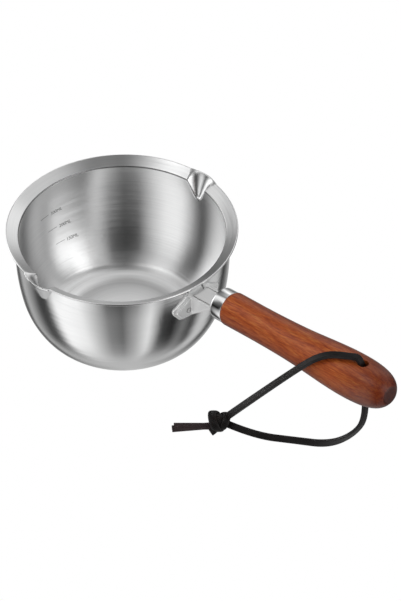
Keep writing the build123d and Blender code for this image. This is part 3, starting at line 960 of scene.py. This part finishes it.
# painted shade: the wood darkens where its surface turns away from the eye
painted_edge_shade = add(tree, "ShaderNodeLayerWeight", "Facing", Blend=0.5)
wood_colour = colour_ramp(tree, streaks, [
    (0.34, (0.52, 0.090, 0.018)), (0.50, (0.82, 0.185, 0.034)), (0.68, (0.98, 0.330, 0.075))])
for amount, shade in (
    (range_of(tree, pores, 1.5, -0.6), (0.62, 0.46, 0.42)), (end_darkening, (0.28, 0.18, 0.22)),
    (disc, (0.5, 0.45, 0.45)), (painted_edge_shade, (0.20, 0.09, 0.06)),
):
    wood_colour = mixed(tree, amount, wood_colour, shade, "MULTIPLY")
set_inputs(
    tree, shader, Base_Color=wood_colour, Roughness=range_of(tree, streaks, 0.36, 0.40),
    Specular_IOR_Level=0.35, Coat_Weight=0.1, Coat_Roughness=0.22,
    Normal=bumped(tree, pores, 0.1, 0.03 * mm))
print("wood of", len(tree.nodes), "nodes")

# %% Wooden handle
wood_length = 107.9 * mm
neck_radius = 8.9 * mm
swell_radius = 11.65 * mm
end_radius = 4.5 * mm
shoulder_round = 0.9 * mm
start_radius = 8.95 * mm
plug_front, plug_radius, plug_round = 0.9 * mm, 7.7 * mm, 0.4 * mm
end_plane = 0.02 * mm
grip_shares = ((0.18, 0.0), (0.325, 0.08), (0.465, 0.30), (0.602, 0.69), (0.765, 1.0))
crown_shares = ((0.852, 0.975), (0.926, 0.865), (0.978, 0.63))
handle_end = ferrule_length + wood_length
grip = [(ferrule_length + shoulder_round, start_radius)]
grip += [
    (ferrule_length + s * wood_length, neck_radius + g * (swell_radius - neck_radius))
    for s, g in grip_shares]
grip += [(ferrule_length + s * wood_length, g * swell_radius) for s, g in crown_shares]
grip += [(handle_end, end_radius)]
profile = np.concatenate([
    [(plug_front, 0.0), (plug_front, 7.0 * mm), (plug_front + plug_round, plug_radius),
     (ferrule_length, plug_radius), (ferrule_length, start_radius - shoulder_round)],
    quarter((ferrule_length + shoulder_round, start_radius - shoulder_round),
            shoulder_round, 180, 90)[1:-1],
    smooth_through(grip, 120, (1, 0), (0.514, -0.857)),
    [(handle_end + end_plane, 3.6 * mm), (handle_end + end_plane, 0.0)],
])
handle = turned_piece("handle", profile, 128)

# %% [markdown]
# The lace hole is drilled through the finished shape, as in the workshop. The drill is a
# spool whose ends flare out, so that the mouths of the hole come out rounded.

# %% Lace hole
hole_place = ferrule_length + 91 * mm
hole_radius = 2.5 * mm
hole_middle = ferrule_front + hole_place * axis_along
surface_at = np.interp(hole_place, profile[10:-2, 0], profile[10:-2, 1])

rise = np.append(0, surface_at + np.array([-0.7, -0.35, -0.1, 0.05, 3.0]) * mm)
flare = hole_radius + np.array([0, 0, 0.1, 0.32, 0.6, 1.4]) * mm
spool = np.stack([np.append(-rise[::-1], rise[1:]), np.append(flare[::-1], flare[1:])], -1)
cutter = turned_piece("cutter", spool, 64, hole_middle, axis_up, axis_side)
cut = handle.modifiers.new("lace_hole", "BOOLEAN")
cut.object = cutter
cut.solver = "EXACT"
apply_modifiers(handle)
bpy.data.objects.remove(cutter)
finish_piece(handle, "oiled_wood", oiled_wood, "wooden_handle")

# %% [markdown]
# The lace is one flat strip of dark leather, 3.7 mm wide, 1.9 mm thick. It leaves the
# knot, rises over the handle, drops through the hole and comes back along the table. Its
# line is a smooth spline; the strip follows that line with its broad face turned the way
# the photograph shows.

# %% Leather
leather_group, given, taken = group_with(
    "leather_grain", [("Cells per metre", 2200)], ["Cells", "Clouds"])
place = add(leather_group, "ShaderNodeTexCoord", "Object")
cells = add(
    leather_group, "ShaderNodeTexVoronoi", "Distance", Vector=place,
    Scale=given["Cells per metre"])
clouds = add(leather_group, "ShaderNodeTexNoise", "Fac", Vector=place, Scale=160, Detail=1)
set_inputs(leather_group, taken, Cells=cells, Clouds=clouds)


def leather(name, dark, light, roughness, specular, relief, strength):
    """Leather whose colour and roughness wander in clouds, with a relief of one of the
    grain's masks."""
    material, tree, shader = new_material(name)
    grain = use_group(tree, leather_group)
    set_inputs(
        tree, shader, Base_Color=mixed(tree, grain["Clouds"], dark, light),
        Roughness=range_of(tree, grain["Clouds"], *roughness), Specular_IOR_Level=specular,
        Normal=bumped(tree, grain[relief], strength, 0.05 * mm))
    skip_near_reflections(tree, shader, 10 * mm)
    return material


lace_leather = leather(
    "lace_leather", (0.004, 0.0035, 0.0035), (0.020, 0.016, 0.0155), (0.38, 0.55), 0.22,
    "Clouds", 0.2)
tail_leather = leather(
    "tail_leather", (0.022, 0.013, 0.014), (0.066, 0.042, 0.044), (0.5, 0.75), 0.3,
    "Cells", 0.06)
print("leather grain of", len(leather_group.nodes), "nodes")

# %% Line of the lace
lace_width = 3.7 * mm
lace_thickness = 1.9 * mm
hole_top = hole_middle + 14.4 * mm * axis_up
lace_points = np.array([
    (97.2, -20.1, 9.2), (141.5, -13.4, 70.6), (151.6, -7.2, 80.2), (162.5, -3.0, 83.2),
    tuple(hole_top / mm), (173.1, 0.1, 47.5), (164.4, 0.9, 28.8), (148.4, 0.7, 10.6),
    (128.6, -2.7, 1.95), (111.5, -14.8, 1.95), (96.2, -19.9, 3.4),
]) * mm

curve = bpy.data.curves.new("lace_line", "CURVE")
curve.dimensions = "3D"
curve.resolution_u = 120
spline = curve.splines.new("NURBS")
spline.points.add(len(lace_points) - 1)
spline.points.foreach_set("co", np.insert(lace_points, 3, 1, axis=1).ravel())
spline.order_u = 3
spline.use_endpoint_u = True
holder = new_object("lace_line", curve)
bpy.context.view_layer.update()
spline_mesh = bpy.data.meshes.new_from_object(holder)
bpy.data.objects.remove(holder)
lace_line = evenly(np.array([v.co[:] for v in spline_mesh.vertices]), 260)
lace_length = lengths_along(lace_line)[-1]
print("lace", round(lace_length / mm, 1), "mm")

# %% Strip of lace


def section(count, width, thickness, power):
    """Points of a rounded box, width by thickness: the circle's cosine and sine, each
    raised to a power below one, which pushes the points out into the corners."""
    angle = np.linspace(0, 2 * np.pi, count, endpoint=False)
    circle = np.stack([np.cos(angle), np.sin(angle)])
    across, over = np.sign(circle) * np.abs(circle) ** power
    return across * width / 2, over * thickness / 2


def swept(line, tangent, facing, across, over):
    """Grid of a section carried along a line. It turns with the facing direction, which is
    made square to the line's tangent."""
    face = unit(facing - np.sum(facing * tangent, axis=1)[:, None] * tangent)
    side = np.cross(tangent, face)
    return line[:, None] + across[:, None] * side[:, None] + over[:, None] * face[:, None]


def strip(name, line, facing):
    """Flat strip of lace along a line, with its broad face turned the facing way."""
    tangent = unit(np.gradient(line, axis=0))
    across, over = section(32, lace_width, lace_thickness, 0.38)
    return closed_mesh(name, swept(line, tangent, facing, across, over))


# where the broad face looks, at shares of the lace's length
places, directions = zip(
    (0.0, (0.2, -0.6, 0.75)), (0.30, (-0.3, -0.55, 0.75)), (0.42, (0.0, 0.0, 1.0)),
    (0.50, (1.0, 0.0, 0.3)), (0.58, (1.0, 0.0, 0.1)), (0.72, (0.8, -0.5, 0.3)),
    (0.85, (0.45, -0.6, 0.7)), (1.0, (0.45, -0.6, 0.7)))
share = lengths_along(lace_line) / lace_length
lace_facing = unit(np.stack(
    [np.interp(share, places, part) for part in zip(*directions)], axis=-1))
lace = strip("lace", lace_line, lace_facing)
finish_piece(lace, "lace_leather", lace_leather, "lace_loop")

# %% [markdown]
# The two ends of the lace are tied together in one overhand knot. Drawn tight, it is a
# dark bead with two bands of lace wrapped round it, one leaning over the other, and a
# folded corner below. The two ends leave it as flat tails, one on the other.

# %% Knot and tails
knot_middle = np.array([93.9, -22.7, 5.3]) * mm
tail_turn = math.radians(-135)
knot_axes = np.array([
    (math.cos(tail_turn), math.sin(tail_turn), 0),
    (-math.sin(tail_turn), math.cos(tail_turn), 0), (0, 0, 1)])


def in_knot(x, y, z):
    """Points given along, across and up from the knot's middle, in the pan's frame."""
    return knot_middle + np.stack(np.broadcast_arrays(x, y, z), axis=-1) @ knot_axes


def band(name, place, lean, reach, rise, width):
    """Band of lace wrapped round the knot: a closed ring whose plane leans along the knot
    as it climbs. Its section is a rounded box that bends round the knot."""
    angle = np.linspace(0, 2 * np.pi, 96, endpoint=False)
    x = place + lean * np.sin(angle)
    line = in_knot(x, reach * np.cos(angle), rise * np.sin(angle))
    outwards = in_knot(0, np.cos(angle) / reach, np.sin(angle) / rise) - knot_middle
    tangent = unit(np.roll(line, -1, axis=0) - np.roll(line, 1, axis=0))
    across, over = section(28, width, 1.6 * mm, 0.45)
    over -= (across / width) ** 2 * 1.2 * mm
    grid = swept(line, tangent, outwards, across, over)
    faces = ring_faces(*grid.shape[:2]).reshape(-1, 4)
    return smooth_piece(name, grid.reshape(-1, 3), faces.tolist())


pole = np.linspace(0, np.pi, 25)[:, None]
angle = np.linspace(0, 2 * np.pi, 36, endpoint=False)
knot_heart = closed_mesh("knot_heart", in_knot(
    -np.cos(pole) * 5.0 * mm, np.sin(pole) * np.cos(angle) * 4.3 * mm,
    np.sin(pole) * np.sin(angle) * 3.7 * mm))
tight_band = band("knot_band_front", 1.5 * mm, 2.1 * mm, 5.2 * mm, 4.3 * mm, 4.3 * mm)
loose_band = band("knot_band_back", -2.0 * mm, -1.9 * mm, 4.3 * mm, 3.7 * mm, 3.9 * mm)
fold_line = evenly(in_knot(*np.array([
    (0.5, 2.6, 4.2), (2.0, 3.6, 4.2), (-1.6, -2.9, -4.0)]) * mm), 24)
knot_fold = strip("knot_fold", fold_line, np.tile([0.25, -0.55, 0.8], (24, 1)))
finish_piece(knot_heart, "lace_leather", lace_leather, "lace_knot")
for piece in (tight_band, loose_band, knot_fold):
    finish_piece(piece, "lace_leather", lace_leather)

# %% Tails
tail_length = 22 * mm
tail_shorter = 0.9 * mm
tail_start = 2.0 * mm
tail_aside = 1.3 * mm
tail_turn_out = 2.6 * mm
tail_clearance = 0.1 * mm
share = np.linspace(0, 1, 40)
tails = []
for layer, tail_name in enumerate(("tail_lower", "tail_upper")):
    x = tail_start + share * (tail_length - layer * tail_shorter)
    y = tail_aside - (1 - layer) * tail_turn_out * (1 - share)
    z = tail_clearance + lace_thickness * (0.5 + layer) - knot_middle[2]
    tails.append(strip(tail_name, in_knot(x, y, z), np.tile([0.0, 0.0, 1.0], (40, 1))))
finish_piece(tails[0], "lace_leather", tail_leather, "lace_tails")
finish_piece(tails[1], "lace_leather", tail_leather)

# %% [markdown]
# The table is plain and pale. It is pure white where the camera looks at it, and other
# rays pass through to the studio, whose lowest part is the table's even grey.

# %% Table
table_white = bpy.data.materials.new("table_white")
table_white.use_nodes = True
tree = table_white.node_tree
tree.nodes.clear()
white = add(tree, "ShaderNodeEmission", "Emission")
clear = add(tree, "ShaderNodeBsdfTransparent", "BSDF")
camera_ray = add(tree, "ShaderNodeLightPath", "Is Camera Ray")
add(tree, "ShaderNodeOutputMaterial", Surface=mixed_shaders(tree, camera_ray, clear, white))

bpy.ops.mesh.primitive_plane_add(size=6, location=(0.08, 0, -0.0002))
table = bpy.context.object
table.name = "table"
table.data.materials.append(table_white)
